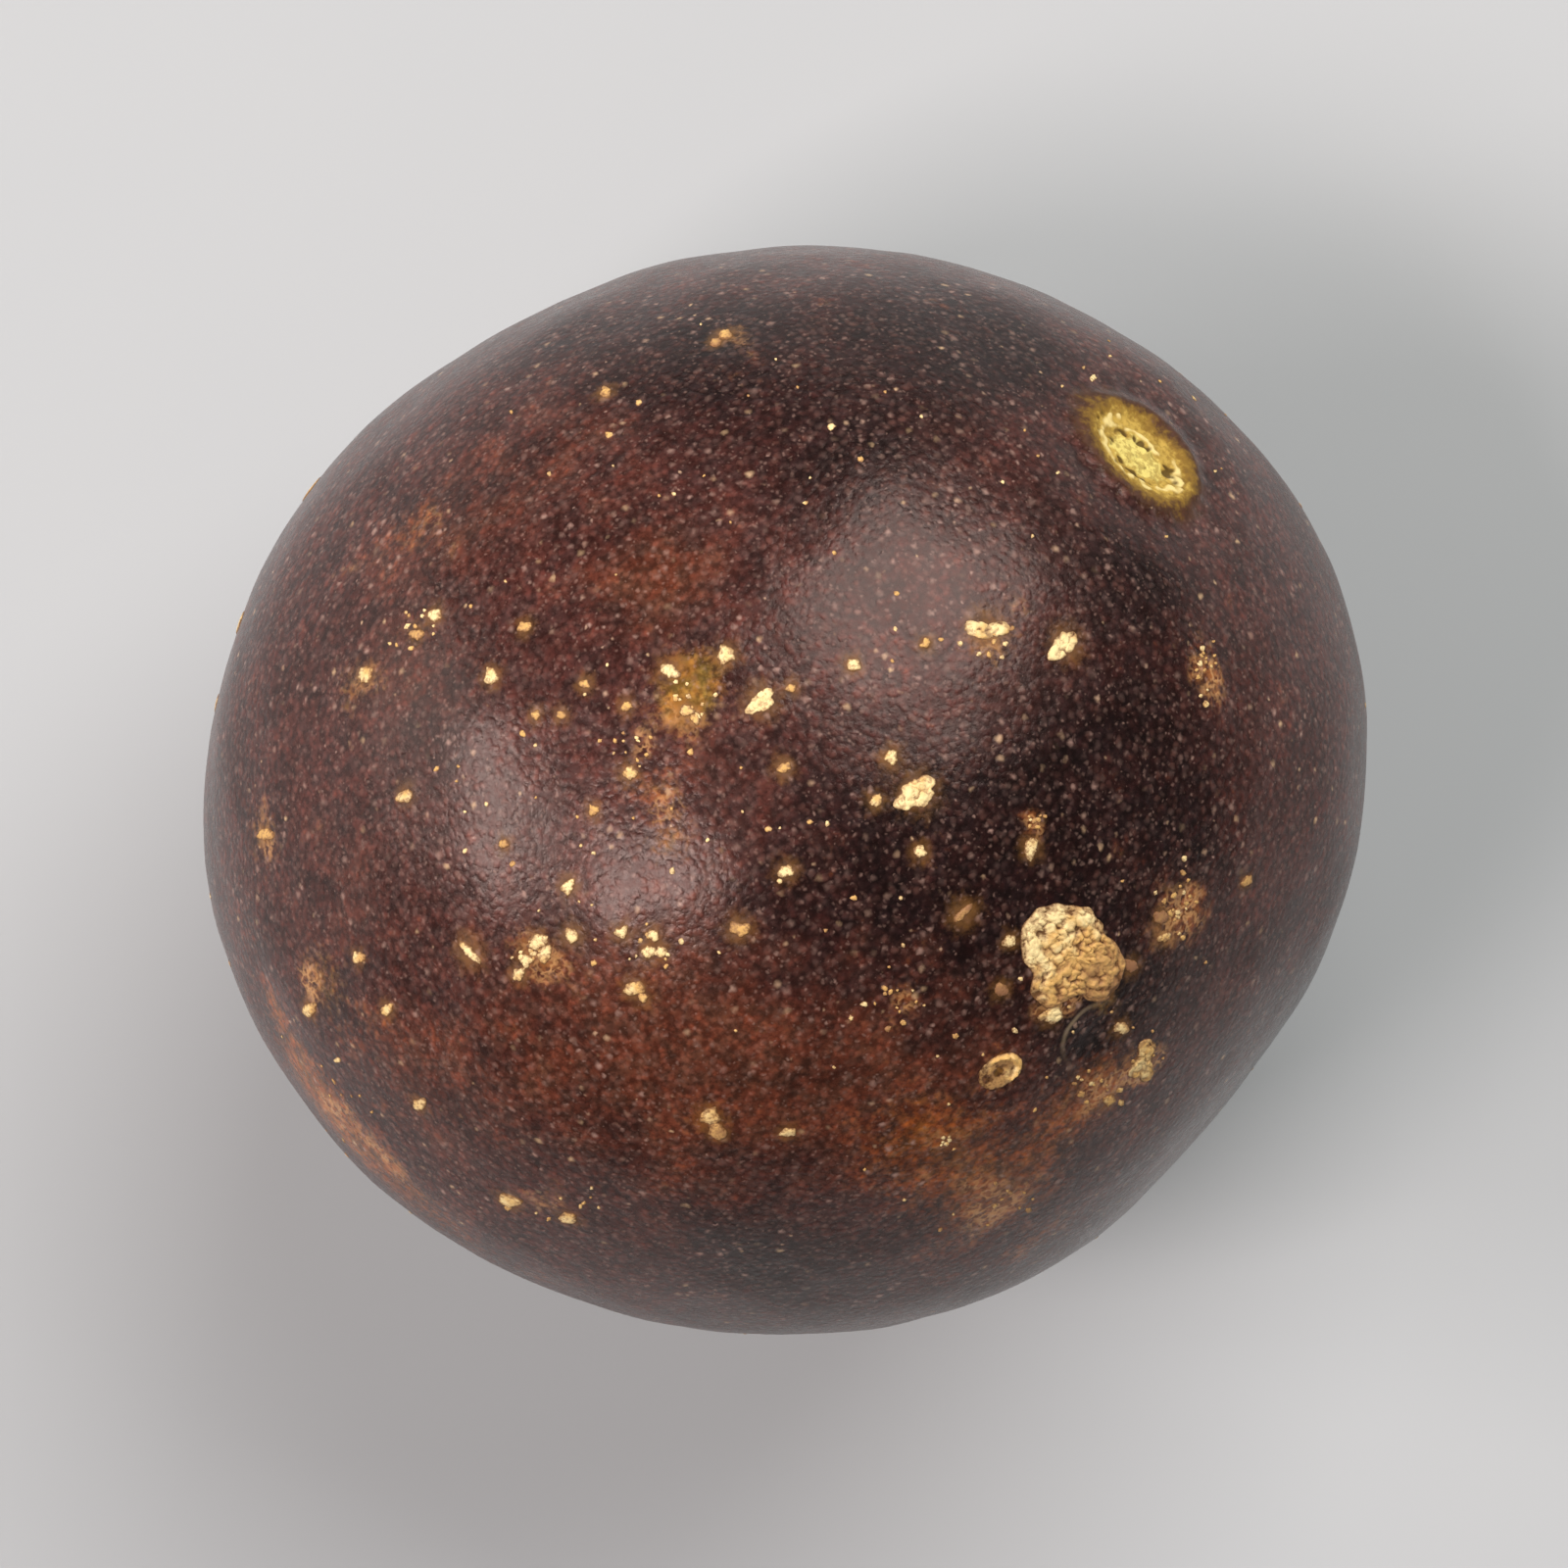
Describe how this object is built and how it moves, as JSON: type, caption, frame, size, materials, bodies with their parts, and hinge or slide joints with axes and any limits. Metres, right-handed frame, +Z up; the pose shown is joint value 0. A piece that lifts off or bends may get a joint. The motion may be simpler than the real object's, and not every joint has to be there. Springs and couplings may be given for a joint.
{
  "type": "passion fruit",
  "caption": "Whole ripe purple passion fruit lying on its side, a lumpy ovoid with a round stem scar at the raised end and a small blossom tip opposite.",
  "frame": {"origin": "on the surface that the fruit lies on, under the middle of its bounding box", "axes": "+Z up; +X the way the stem end points when seen from above, and also the fruit's longest extent; -Z out of the flat spot that it lies on"},
  "size_m": [0.0542, 0.0518, 0.0516],
  "materials": {
    "rind": "satin"
  },
  "bodies": {
    "root": {"fruit": "rind"}
  },
  "joints": []
}
